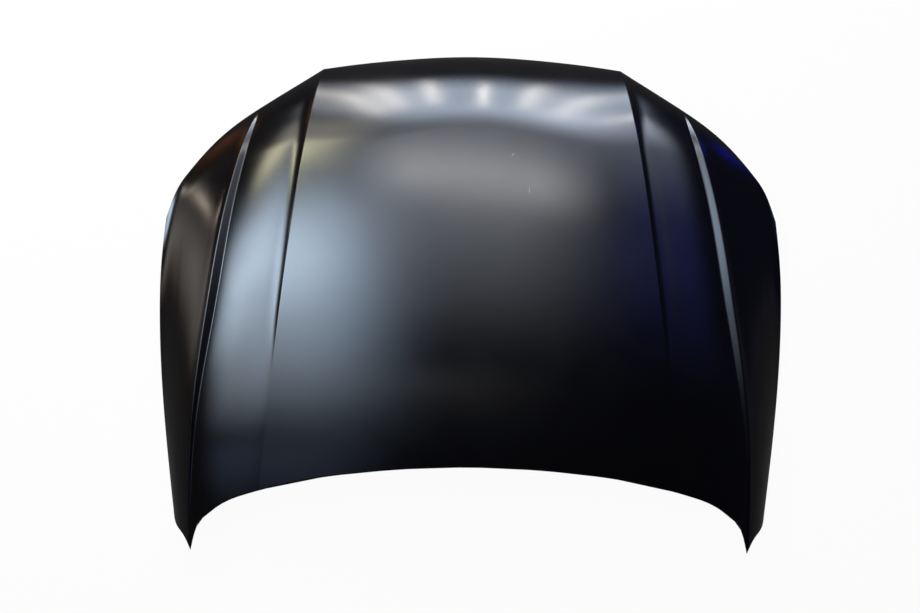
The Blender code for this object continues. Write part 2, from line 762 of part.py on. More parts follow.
def make_loop(pad, low, finish):
    """Add the striker's bent rod, hanging from its plate."""
    bend = LOOP_ROD
    points = [(LOOP_SPAN / 2, 0)]
    for i in range(5):
        angle = math.pi / 2 * i / 4
        points.append((LOOP_SPAN / 2 - bend + bend * math.cos(angle),
                       bend - LOOP_LENGTH + LOOP_ROD / 2 - bend * math.sin(angle)))
    points += [(-y, z) for y, z in reversed(points)]
    rings = []
    for index, (y, z) in enumerate(points):
        before, after = points[max(index - 1, 0)], points[min(index + 1, len(points) - 1)]
        way = Vector((0, after[0] - before[0], after[1] - before[1])).normalized()
        across = Vector((1, 0, 0)).cross(way)
        circle = round_ring(LOOP_ROD / 2, 0, sides=ROD_SIDES)
        rings.append([Vector((0, y, z + low)) + Vector((1, 0, 0)) * a + across * b for a, b, _ in circle])
    loop = loft("striker_loop", rings, finish)
    loop.matrix_world = pad.matrix()
    return loop


def make_hinge_seat(side, frame, pad, coated, plated):
    """Add one hinge seat: a reinforcement plate and two weld nuts."""
    offsets = [(0, -HINGE_BOLT_PITCH / 2), (0, HINGE_BOLT_PITCH / 2)]
    make_plate(f"hinge_reinforcement_{side}", pad, HINGE_PLATE_SIZE, CLEARANCE, PLATE_THICKNESS,
               offsets, coated)
    for place, offset in zip(("rear", "front"), offsets):
        make_nut(f"hinge_nut_{side}_{place}", pad, offset, 2 * CLEARANCE + PLATE_THICKNESS, plated)
    drill(frame, pad, offsets, (BOLT_DIAMETER + BOLT_CLEARANCE) / 2, 5 * PLATE_THICKNESS)


def make_striker(frame, pad, coated, plated):
    """Add the striker seat: reinforcement, nuts, plate, bolts and loop."""
    offsets = [(-STRIKER_BOLT_PITCH / 2, 0), (STRIKER_BOLT_PITCH / 2, 0)]
    plate_top = -FRAME_THICKNESS - CLEARANCE
    head_top = plate_top - STRIKER_PLATE_THICKNESS - CLEARANCE
    nut_low = 2 * CLEARANCE + PLATE_THICKNESS
    make_plate("striker_reinforcement", pad, STRIKER_PLATE_SIZE, CLEARANCE, PLATE_THICKNESS, offsets, coated)
    make_plate("striker_plate", pad, STRIKER_PLATE_SIZE, plate_top - STRIKER_PLATE_THICKNESS,
               STRIKER_PLATE_THICKNESS, offsets, plated)
    for side, offset in zip(("left", "right"), offsets):
        make_nut(f"striker_nut_{side}", pad, offset, nut_low, plated)
        make_bolt(f"striker_bolt_{side}", pad, offset, head_top, nut_low + NUT_HEIGHT - head_top, plated)
    make_loop(pad, head_top, plated)
    drill(frame, pad, offsets, (BOLT_DIAMETER + BOLT_CLEARANCE) / 2, 5 * PLATE_THICKNESS)


def make_dab(name, lattice, column, row, finish):
    """Add a mastic dab between the skin and a land of the frame."""
    centre = lattice.at(column, row)
    reach_x = np.linalg.norm(lattice.at(column + CELL_PROBE, row) - centre) / CELL_PROBE
    reach_y = np.linalg.norm(lattice.at(column, row + CELL_PROBE) - centre) / CELL_PROBE
    rings = []
    for depth in (SKIN_THICKNESS + CLEARANCE, LAND_DEPTH - CLEARANCE):
        flat = round_ring(DAB_RADIUS, 0, sides=DAB_SIDES)
        rings.append([lattice.at(column + x / reach_x, row + y / reach_y, depth) for x, y, _ in flat])
    return loft(name, rings, finish)


def make_dabs(lattice, finish):
    """Add the mastic dabs along the lands beside the ribs."""
    beside_rib = RIB_FLOOR / 2 + WALL_RUN + LAND_WIDTH / 2
    columns = {"centre": lattice.column_at(beside_rib), "middle": lattice.column_at(RIB_X + beside_rib),
               "valley": VALLEY - 0.5}
    for line, column in columns.items():
        for place, row in DAB_ROWS.items():
            for side, sign in (("left", -1), ("right", 1)):
                make_dab(f"mastic_{line}_{place}_{side}", lattice, sign * column, row, finish)


def main():
    """Clear the scene and build the bonnet."""
    for old in list(bpy.data.objects):
        bpy.data.objects.remove(old)
    primer = material("black_primer", (0.012, 0.013, 0.016), 0.35)
    plated = material("zinc_plate", (0.55, 0.56, 0.58), 0.35, 1.0)
    mastic = material("mastic", (0.20, 0.19, 0.17), 0.8)
    lattice = Lattice()
    make_skin(lattice, primer)
    pads = [Pad(lattice, sorted(sign * k for k in HINGE_COLUMNS), HINGE_ROWS, HINGE_PAD_DEPTH)
            for sign in (-1, 1)]
    rib_edge = lattice.column_at(RIB_FLOOR / 2 + WALL_RUN + LAND_WIDTH)
    pads.append(Pad(lattice, (-rib_edge, rib_edge), STRIKER_ROWS, STRIKER_PAD_DEPTH, STRIKER_PAD_TILT))
    frame = make_frame(lattice, pads, primer)
    for side, pad in zip(("left", "right"), pads):
        make_hinge_seat(side, frame, pad, primer, plated)
    make_striker(frame, pads[-1], primer, plated)
    make_dabs(lattice, mastic)


main()
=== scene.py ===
"""Looks of a pressed steel car bonnet in black primer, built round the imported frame.

The skin is built again from the same styling lines as the CAD part, on a finer grid with rounded
creases and a rolled hem.  Everything is in metres: +X to the right, +Y to the nose, +Z up.
"""

import logging
import math
from collections.abc import Callable
from dataclasses import dataclass, field
from enum import Enum

import bpy
import numpy as np
from mathutils import Matrix, Vector

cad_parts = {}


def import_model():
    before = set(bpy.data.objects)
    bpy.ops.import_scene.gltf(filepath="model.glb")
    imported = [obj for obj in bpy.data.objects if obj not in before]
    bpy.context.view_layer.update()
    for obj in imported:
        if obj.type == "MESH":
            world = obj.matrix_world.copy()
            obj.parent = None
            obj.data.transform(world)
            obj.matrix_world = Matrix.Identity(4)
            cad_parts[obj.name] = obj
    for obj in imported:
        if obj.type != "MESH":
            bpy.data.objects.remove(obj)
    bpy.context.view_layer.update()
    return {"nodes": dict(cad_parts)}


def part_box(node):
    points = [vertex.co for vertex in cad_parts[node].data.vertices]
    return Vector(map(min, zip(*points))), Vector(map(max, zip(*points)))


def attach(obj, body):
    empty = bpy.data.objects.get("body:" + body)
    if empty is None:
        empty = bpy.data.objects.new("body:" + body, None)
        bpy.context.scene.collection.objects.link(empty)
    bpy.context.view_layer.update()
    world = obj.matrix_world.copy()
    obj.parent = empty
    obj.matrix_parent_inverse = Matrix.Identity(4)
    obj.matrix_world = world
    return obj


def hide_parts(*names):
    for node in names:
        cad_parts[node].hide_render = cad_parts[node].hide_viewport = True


MM = 0.001
MM_PER_METRE = 1000
LOG = logging.getLogger("bonnet")
Array = np.ndarray
Point = tuple[float, float]
Socket = bpy.types.NodeSocket
Tree = bpy.types.NodeTree


def linear(code: str) -> tuple[float, float, float, float]:
    """Turn an sRGB hex colour into linear light.

    Args:
        code: Six hex digits, such as "0d0e10".

    Returns:
        Red, green, blue and an alpha of 1.
    """
    values = [int(code[i:i + 2], 16) / 255 for i in (0, 2, 4)]
    red, green, blue = (v / 12.92 if v <= 0.04045 else ((v + 0.055) / 1.055) ** 2.4 for v in values)
    return red, green, blue, 1.0


def add_node(tree: Tree, kind: str, settings: dict | None = None,
             inputs: dict | None = None) -> bpy.types.Node:
    """Add a node with its settings, and its socket values or links.

    Args:
        tree: The node tree that gets the node.
        kind: The node's type name.
        settings: Attribute names and values.
        inputs: Socket names or numbers, each with a value or an output socket to link.

    Returns:
        The new node.
    """
    node = tree.nodes.new(kind)
    for name, value in (settings or {}).items():
        setattr(node, name, value)
    for name, value in (inputs or {}).items():
        if isinstance(value, Socket):
            tree.links.new(value, node.inputs[name])
        else:
            node.inputs[name].default_value = value
    return node


def calculate(tree: Tree, operation: str, first: Socket, second: Socket | float) -> Socket:
    """Return the result of one sum on two values."""
    return add_node(tree, "ShaderNodeMath", {"operation": operation}, {0: first, 1: second}).outputs[0]


def ramp(tree: Tree, value: Socket, start: Point, end: Point = (0.0, 1.0), smooth: bool = False) -> Socket:
    """Map a value from one range to another.

    Args:
        tree: The node tree.
        value: The value to map.
        start: The range it comes from.
        end: The range it goes to.
        smooth: Whether it eases in and out, and doesn't run straight.

    Returns:
        The mapped value.
    """
    settings = {"interpolation_type": "SMOOTHSTEP"} if smooth else None
    return add_node(tree, "ShaderNodeMapRange", settings,
                    {"Value": value, "From Min": start[0], "From Max": start[1],
                     "To Min": end[0], "To Max": end[1]}).outputs["Result"]


def mix_colours(tree: Tree, share: Socket, first: Socket | tuple, second: Socket | tuple) -> Socket:
    """Return the colour that lies a share of the way between two colours."""
    return add_node(tree, "ShaderNodeMix", {"data_type": "RGBA"}, {0: share, 6: first, 7: second}).outputs[2]


def noise(tree: Tree, place: Socket, size_mm: float, inputs: dict | None = None) -> Socket:
    """Return a cloudy pattern from 0 to 1, of a real size.

    Args:
        tree: The node tree.
        place: The point on the piece.
        size_mm: How far the pattern's patches lie apart.
        inputs: Its other inputs.

    Returns:
        The pattern's value.
    """
    return add_node(tree, "ShaderNodeTexNoise", None,
                    {"Vector": place, "Scale": MM_PER_METRE / size_mm, **(inputs or {})}).outputs["Fac"]


def bump(tree: Tree, height: Socket, depth_mm: float, below: Socket | None = None) -> Socket:
    """Return the surface's normal over a height pattern.

    Args:
        tree: The node tree.
        height: The pattern, from 0 to 1.
        depth_mm: The height for 1.
        below: The normal of a pattern that lies under it.

    Returns:
        The new normal.
    """
    under = {"Normal": below} if below else {}
    return add_node(tree, "ShaderNodeBump", None,
                    {"Height": height, "Distance": depth_mm * MM, "Strength": 1.0, **under}).outputs["Normal"]


def new_material(name: str) -> tuple[bpy.types.Material, Tree, bpy.types.Node]:
    """Make an empty material with an output node, and return it, its tree and that node."""
    made = bpy.data.materials.new(name)
    made.use_nodes = True
    tree = made.node_tree
    tree.nodes.clear()
    return made, tree, add_node(tree, "ShaderNodeOutputMaterial")


def shade(tree: Tree, output: bpy.types.Node, inputs: dict) -> None:
    """Add a material's surface shader with its inputs."""
    shader = add_node(tree, "ShaderNodeBsdfPrincipled", None, inputs)
    tree.links.new(shader.outputs["BSDF"], output.inputs["Surface"])


def mirrored_rays(tree: Tree, path: bpy.types.Node) -> Socket:
    """Return 1 for a ray that was mirrored or let through, and 0 for any other."""
    return calculate(tree, "MAXIMUM", path.outputs["Is Glossy Ray"], path.outputs["Is Transmission Ray"])


def add_mesh(name: str, vertices: Array | list, faces: list, material: bpy.types.Material,
             sharp_degrees: float = 40) -> bpy.types.Object:
    """Add a smooth shaded mesh object.

    Args:
        name: The piece's name.
        vertices: Points in metres.
        faces: Vertex numbers of each face.
        material: The piece's finish.
        sharp_degrees: Edges that turn by more stay sharp.

    Returns:
        The new object.
    """
    mesh = bpy.data.meshes.new(name)
    mesh.from_pydata([tuple(map(float, v)) for v in vertices], [], faces)
    mesh.validate()
    mesh.materials.append(material)
    mesh.shade_smooth()
    mesh.set_sharp_from_angle(angle=math.radians(sharp_degrees))
    made = bpy.data.objects.new(name, mesh)
    bpy.context.scene.collection.objects.link(made)
    return made


@dataclass(frozen=True)
class Patch:
    """A patch or mark on a piece, seen from above and broken up as a light graze is."""

    x: float
    y: float
    half_length: float
    half_width: float
    turn: float = 0.0
    fade: Point = (0.3, 1.0)
    graze_scale: float = 2.5
    graze_range: Point = (0.35, 0.6)
    half_depth: float = 1000.0

    def mask(self, tree: Tree, place: Socket) -> Socket:
        """Return how much of the patch shows at a point.

        Args:
            tree: The material's node tree.
            place: The point on the piece.

        Returns:
            A share from 0 to 1.
        """
        own = add_node(tree, "ShaderNodeMapping", {"vector_type": "TEXTURE"},
                       {"Vector": place, "Location": (self.x, self.y, 0.0), "Rotation": (0.0, 0.0, self.turn),
                        "Scale": (self.half_length, self.half_width, self.half_depth)}).outputs[0]
        reach = add_node(tree, "ShaderNodeVectorMath", {"operation": "LENGTH"}, {0: own})
        mark = ramp(tree, reach.outputs["Value"], self.fade, (1.0, 0.0), smooth=True)
        graze = add_node(tree, "ShaderNodeTexNoise", None,
                         {"Vector": own, "Scale": self.graze_scale, "Detail": 2.0})
        return calculate(tree, "MULTIPLY", mark, ramp(tree, graze.outputs["Fac"], self.graze_range))


@dataclass(frozen=True)
class ElectroDipPrimer:
    """Cathodic electro-dip primer on pressed steel, baked.

    It gives a thin, even, satin black film that follows the sheet.  It shows the faint waviness
    of the pressing, a fine orange peel, a patch of dust nibs on the nose and two light scuffs.
    """

    colour: str = "020203"
    worn_colour: str = "040405"
    ior: float = 1.52
    roughness: float = 0.17
    roughness_spread: float = 0.03
    cloud_mm: float = 260.0
    cloud_range: Point = (0.3, 0.7)
    peel_mm: float = 3.0
    peel_depth_mm: float = 0.012
    wave_mm: float = 140.0
    wave_depth_mm: float = 0.05
    nib_spacing_mm: float = 7.0
    nib_radius_mm: float = 2.4
    nib_top_share: float = 0.2
    nib_height_mm: float = 0.3
    nib_patch: Patch = Patch(-0.069, 0.568, 0.164, 0.038)
    scuff_colour: str = "505258"
    scuffs: tuple[Patch, ...] = (Patch(0.110, 0.364, 0.008, 0.004, 1.3), Patch(0.1535, 0.266, 0.014, 0.0025, 1.55))

    def material(self) -> bpy.types.Material:
        """Return the primer's material."""
        made, tree, output = new_material("black_electro_dip_primer")
        place = add_node(tree, "ShaderNodeTexCoord").outputs["Object"]
        cloud = noise(tree, place, self.cloud_mm, {"Detail": 4.0, "Roughness": 0.6})
        colour = mix_colours(tree, cloud, linear(self.colour), linear(self.worn_colour))
        for scuff in self.scuffs:
            colour = mix_colours(tree, scuff.mask(tree, place), colour, linear(self.scuff_colour))
        rough = ramp(tree, cloud, self.cloud_range,
                     (self.roughness - self.roughness_spread, self.roughness + self.roughness_spread))
        normal = bump(tree, noise(tree, place, self.peel_mm, {"Detail": 1.0}), self.peel_depth_mm)
        normal = bump(tree, noise(tree, place, self.wave_mm, {"Detail": 1.0}), self.wave_depth_mm, normal)
        normal = bump(tree, self.nibs(tree, place), self.nib_height_mm, normal)
        shade(tree, output, {"Base Color": colour, "Roughness": rough, "IOR": self.ior, "Normal": normal})
        return made

    def nibs(self, tree: Tree, place: Socket) -> Socket:
        """Return the pattern of the dust nibs under the film, which lie in one patch.

        Args:
            tree: The material's node tree.
            place: The point on the piece.

        Returns:
            A height from 0 to 1.
        """
        cell = add_node(tree, "ShaderNodeTexVoronoi", None,
                        {"Vector": place, "Scale": MM_PER_METRE / self.nib_spacing_mm})
        reach = self.nib_radius_mm / self.nib_spacing_mm
        nib = ramp(tree, cell.outputs["Distance"], (self.nib_top_share * reach, reach), (1.0, 0.0), smooth=True)
        return calculate(tree, "MULTIPLY", nib, self.nib_patch.mask(tree, place))


@dataclass(frozen=True)
class ZincPlate:
    """Bright zinc plate on steel: a bluish silver with soft spangle and dull patches."""

    colour: str = "c3c7cc"
    dull_colour: str = "9da1a4"
    roughness: float = 0.28
    dull_roughness: float = 0.44
    patch_mm: float = 9.0

    def material(self) -> bpy.types.Material:
        """Return the plated finish."""
        made, tree, output = new_material("zinc_plated_steel")
        place = add_node(tree, "ShaderNodeTexCoord").outputs["Object"]
        patch = noise(tree, place, self.patch_mm, {"Detail": 3.0})
        colour = mix_colours(tree, patch, linear(self.dull_colour), linear(self.colour))
        rough = ramp(tree, patch, (0.0, 1.0), (self.dull_roughness, self.roughness))
        shade(tree, output, {"Base Color": colour, "Metallic": 1.0, "Roughness": rough})
        return made


@dataclass(frozen=True)
class AntiFlutterMastic:
    """Baked anti-flutter mastic: a matt, slightly lumpy grey-brown rubber, laid as dabs."""

    colour: str = "4b4843"
    roughness: float = 0.8
    lump_mm: float = 4.0
    lump_height_mm: float = 0.4

    def material(self) -> bpy.types.Material:
        """Return the mastic's finish."""
        made, tree, output = new_material("anti_flutter_mastic")
        place = add_node(tree, "ShaderNodeTexCoord").outputs["Object"]
        normal = bump(tree, noise(tree, place, self.lump_mm), self.lump_height_mm)
        shade(tree, output, {"Base Color": linear(self.colour), "Roughness": self.roughness, "Normal": normal})
        return made


class SmoothCurve:
    """The natural cubic spline through (position, value) points, read by position."""

    def __init__(self, *points: Point) -> None:
        self.place = np.array([p[0] for p in points])
        self.value = np.array([p[1] for p in points])
        self.span = np.diff(self.place)
        chord = np.diff(self.value) / self.span
        system = np.eye(len(points))
        turn = np.zeros(len(points))
        for i in range(1, len(points) - 1):
            system[i, i - 1:i + 2] = self.span[i - 1], 2 * (self.span[i - 1] + self.span[i]), self.span[i]
            turn[i] = 6 * (chord[i] - chord[i - 1])
        self.bend = np.linalg.solve(system, turn)

    def __call__(self, at: Array | float) -> Array:
        """Read the curve's value at one or more positions."""
        at = np.asarray(at, float)
        i = np.clip(np.searchsorted(self.place, at) - 1, 0, len(self.span) - 1)
        ahead = (at - self.place[i]) / self.span[i]
        behind = 1 - ahead
        bow = (behind**3 - behind) * self.bend[i] + (ahead**3 - ahead) * self.bend[i + 1]
        return behind * self.value[i] + ahead * self.value[i + 1] + bow * self.span[i] ** 2 / 6

    @classmethod
    def even(cls, *points: Point) -> "SmoothCurve":
        """Return an even curve whose first point lies on the centreline."""
        outer = [p for p in points if p[0] > 0]
        return cls(*[(-p[0], p[1]) for p in reversed(outer)], *points)

    @classmethod
    def lengthways(cls, *points: Point) -> "SmoothCurve":
        """Return the curve through plan points that gives x at a position y."""
        return cls(*[(y, x) for x, y in points])


def mix(first: Array | float, second: Array | float, share: Array | float) -> Array | float:
    """Return the value that lies a share of the way between two values."""
    return first + (second - first) * share


def rolled(share: Array, sharpness: float) -> Array:
    """Return the fall of a rounded edge, 0 at its start and 1 at its end."""
    share = np.clip(share, 0.0, 1.0)
    fall = 1 - np.sqrt(1 - (sharpness * share) ** 2)
    return fall / (1 - math.sqrt(1 - sharpness**2))


def bent(run: Array, radius: float) -> Array:
    """Return the positive part of a run, with its corner rounded over a reach.

    Args:
        run: Distance past the corner, negative before it.
        radius: Half the width of the rounding.

    Returns:
        Zero before the corner, and the run after it.
    """
    return np.where(run <= -radius, 0.0, np.where(run >= radius, run, (run + radius) ** 2 / (4 * radius)))


class Line(Enum):
    """The styling lines, from the centreline out."""

    CENTRE = "centre"
    DOME = "dome"
    FOOT = "foot"
    VALLEY = "valley"
    RIDGE = "ridge"
    CREST = "crest"
    SIDE = "side"


@dataclass(frozen=True)
class Column:
    """A lattice column between two styling lines, with its share at the rear and front ends."""

    left: Line
    right: Line
    rear: Array | float
    front: Array | float


@dataclass
class BonnetForm:
    """The bonnet's plan, crown and creases, on the same sizes as the CAD part."""

    width: float = 1.703
    length: float = 1.360
    dome_middle: Point = (0.498, -0.020)
    dome_front: Point = (0.452, 0.400)
    valley_rear: Point = (0.723, -0.390)
    valley_middle: Point = (0.675, -0.013)
    valley_forward: Point = (0.636, 0.270)
    facet_width: float = 20.5 * MM
    facet_middle_y: float = 0.120
    facet_fade: float = 0.220
    facet_tip_run: float = 0.070
    crest_width: float = 13 * MM
    line_gap: float = 3 * MM
    crown_height: float = 0.190
    crown_peak_y: float = -0.280
    length_radius: float = 5.0
    cross_radius: float = 3.2
    step_height: float = 7 * MM
    step_width: float = 42 * MM
    step_ease: float = 3.0
    shoulder_crown: float = 5.5 * MM
    step_end_y: float = -0.400
    facet_rise: float = 13 * MM
    crest_fall: float = 4 * MM
    side_height_front: float = 0.030
    lamp_height: float = 0.034
    dome_corner_height: float = 0.006
    nose_roll_length: float = 0.240
    lamp_roll_length: float = 0.150
    corner_roll_length: float = 0.090
    nose_sharpness: float = 0.93
    side_sharpness: float = 0.90
    side_lean: float = 0.35
    skin_thickness: float = 0.8 * MM
    frame_thickness: float = 0.7 * MM
    clearance: float = 0.3 * MM
    dome_radius: float = 2.0 * MM
    valley_radius: float = 2.0 * MM
    ridge_radius: float = 1.8 * MM
    crest_radius: float = 5.0 * MM
    lines: dict = field(init=False)

    def __post_init__(self) -> None:
        """Build the plan curves from the sizes."""
        curve, even, lengthways = SmoothCurve, SmoothCurve.even, SmoothCurve.lengthways
        half, nose, tail = self.width / 2, self.length / 2, -self.length / 2
        self.dome_corner = (0.4165, nose - 0.0395)
        self.valley_front = (0.580, nose - 0.1567)
        self.front_corner = (half - 0.014, nose - 0.471)
        self.side_middle = (half, -0.030)
        self.rear_corner = (half - 0.056, tail + 0.081)
        self.horn_tip = (half - 0.1247, tail)
        self.rear_middle = (0, tail + 0.2207)
        self.nose_edge = even((0, nose), (0.230, nose - 0.0116), (0.350, nose - 0.027), self.dome_corner)
        self.lamp_edge = curve(self.dome_corner, self.valley_front, (half - 0.1465, nose - 0.2578),
                               (half - 0.0665, nose - 0.3513), (half - 0.0347, nose - 0.407),
                               self.front_corner)
        self.rear_edge = even(self.rear_middle, (0.250, tail + 0.2081), (0.450, tail + 0.1792),
                              (0.580, tail + 0.1458), (0.652, tail + 0.1145), (half - 0.1589, tail + 0.0838),
                              (half - 0.138, tail + 0.053), self.horn_tip)
        self.horn_edge = curve(self.horn_tip, (half - 0.1095, tail + 0.026), (half - 0.0875, tail + 0.048),
                               (half - 0.0655, tail + 0.067), self.rear_corner)
        side = lengthways(self.rear_corner, (half - 0.0173, tail + 0.380), self.side_middle,
                          (half - 0.003, nose - 0.580), self.front_corner)
        dome = lengthways((0.548, tail + 0.103), self.dome_middle, self.dome_front, self.dome_corner)
        valley = lengthways(self.horn_tip, self.valley_rear, self.valley_middle, self.valley_forward,
                            self.valley_front)
        self.side_height = curve((self.rear_corner[1], 0), (self.side_middle[1], self.side_height_front / 2),
                                 (self.front_corner[1], self.side_height_front))
        self.front_height = even((0, 0), (self.dome_corner[0], self.dome_corner_height),
                                 (self.valley_front[0], self.lamp_height),
                                 (self.front_corner[0], self.side_height_front))
        self.roll_length = even((0, self.nose_roll_length), (self.dome_corner[0], self.nose_roll_length),
                                (self.valley_front[0], self.lamp_roll_length),
                                (self.front_corner[0], self.corner_roll_length))
        self.facet_share = curve((self.horn_tip[1], 0), (self.valley_rear[1], 0.38),
                                 (self.facet_middle_y - self.facet_fade, 0.92), (self.facet_middle_y, 1),
                                 (self.facet_middle_y + self.facet_fade, 0.74),
                                 (self.valley_front[1] - self.facet_tip_run, 0.45), (self.valley_front[1], 0))
        self.lines = {
            Line.CENTRE: lambda y: np.zeros_like(np.asarray(y, float)),
            Line.DOME: dome,
            Line.FOOT: lambda y: dome(y) + self.step_width,
            Line.VALLEY: valley,
            Line.RIDGE: lambda y: valley(y) + self.facet_reach(y),
            Line.CREST: lambda y: valley(y) + self.facet_reach(y) + self.crest_width,
            Line.SIDE: side,
        }
        self.ends = {line: self.line_ends(line) for line in Line}

    @property
    def hem_depth(self) -> float:
        """Whole thickness of the folded edge."""
        return 2 * self.skin_thickness + self.frame_thickness + 2 * self.clearance

    def facet_reach(self, y: Array | float) -> Array:
        """Return the width of the inward facing facet beside the valley line."""
        return self.line_gap + (self.facet_width - self.line_gap) * self.facet_share(y)

    def step(self, y: Array | float) -> Array:
        """Return how far the dome stands above the shoulder beside it."""
        run = np.clip((y - self.step_end_y) / (self.dome_middle[1] - self.step_end_y), 0.0, 1.0)
        return self.step_height * run * run * (3 - 2 * run)

    def rear_y(self, x: Array | float) -> Array:
        """Return the windscreen edge in plan, and past the tip the horn's edge."""
        return np.where(x <= self.horn_tip[0], self.rear_edge(x), self.horn_edge(x))

    def front_y(self, x: Array | float) -> Array:
        """Return the nose edge in plan, and past the dome the lamp edge."""
        return np.where(x <= self.dome_corner[0], self.nose_edge(x), self.lamp_edge(x))

    def line_ends(self, line: Line) -> tuple[float, float]:
        """Return the y at which a styling line meets the rear and front edges."""
        rear, front = self.rear_corner[1], self.valley_front[1]
        for _ in range(20):
            rear = float(self.rear_y(self.lines[line](rear)))
            front = float(self.front_y(self.lines[line](front)))
        return rear, front

    def line_x(self, line: Line, share: Array | float) -> Array:
        """Return x a share of the way along a styling line."""
        return self.lines[line](mix(*self.ends[line], share))

    def plan(self, column: Column, share: Array | float) -> tuple[Array, Array]:
        """Return the plan point a share of the way along a column."""
        def across(at: Array | float) -> Array:
            """Return the column's x at a share."""
            return mix(self.line_x(column.left, at), self.line_x(column.right, at),
                       mix(column.rear, column.front, at))

        return across(share), mix(self.rear_y(across(0.0)), self.front_y(across(1.0)), share)

    def crown(self, x: Array, y: Array, drop: Array | float) -> Array:
        """Return the height of the main crown, lowered by a drop."""
        length_fall = (y - self.crown_peak_y) ** 2 / (2 * self.length_radius)
        return self.crown_height - length_fall - x * x / (2 * self.cross_radius) - drop

    def body(self, x: Array, y: Array, share: Array | float, creased: bool) -> Array:
        """Return the height of the skin before the nose roll, with or without the dome's step."""
        side_y = mix(*self.ends[Line.SIDE], share)
        side_x = self.lines[Line.SIDE](side_y)
        ridge_x = self.line_x(Line.RIDGE, share)
        out = np.clip(bent(x - ridge_x, self.ridge_radius) / (side_x - ridge_x), 0.0, 1.0)
        fall = mix(rolled(out, self.side_sharpness), out, self.side_lean)
        drop = side_drop = 0.0
        if creased:
            dome_x, valley_x = self.line_x(Line.DOME, share), self.line_x(Line.VALLEY, share)
            run = bent(x - dome_x, self.dome_radius)
            past = 1 - (1 - np.clip(run / self.step_width, 0.0, 1.0)) ** self.step_ease
            over = np.clip(run / (valley_x - dome_x), 0.0, 1.0)
            drop = self.step(y) * past - 4 * self.shoulder_crown * over * (1 - over)
            side_drop = self.step(side_y)
        edge_fall = self.crown(side_x, side_y, side_drop) - self.side_height(side_y)
        return self.crown(x, y, drop) - edge_fall * fall

    def facets(self, x: Array, y: Array, share: Array | float) -> Array:
        """Return the height that the facet, its ridge and the crest behind it add at a point."""
        valley_x, ridge_x = self.line_x(Line.VALLEY, share), self.line_x(Line.RIDGE, share)
        crest_x, side_x = self.line_x(Line.CREST, share), self.line_x(Line.SIDE, share)
        rise = self.facet_rise / (ridge_x - valley_x)
        out = -self.crest_fall / (crest_x - ridge_x)
        back = -(self.facet_rise - self.crest_fall) / (side_x - crest_x)
        height = (rise * bent(x - valley_x, self.valley_radius) + (out - rise) * bent(x - ridge_x, self.ridge_radius)
                  + (back - out) * bent(x - crest_x, self.crest_radius) - back * np.maximum(x - side_x, 0))
        return height * self.facet_share(y)

    def point(self, column: Column, share: Array, creased: bool = True) -> Array:
        """Return points of the skin along a column.

        Args:
            column: The column.
            share: Positions from the rear edge, 0, to the front edge, 1.
            creased: Whether the step and the facets are there.

        Returns:
            One point for each share.
        """
        share = np.asarray(share, float)
        x, y = self.plan(column, share)
        rear = self.plan(column, 0.0)[1]
        front_x, front = self.plan(column, 1.0)
        start = 1 - self.roll_length(front_x) / (front - rear)
        fall = rolled((share - start) / (1 - start), self.nose_sharpness)
        edge_fall = self.body(front_x, front, 1.0, creased) - self.front_height(front_x)
        z = self.body(x, y, share, creased) - edge_fall * fall
        if creased:
            z = z + self.facets(x, y, share) * (1 - fall)
        return np.stack(np.broadcast_arrays(x, y, z), axis=-1)


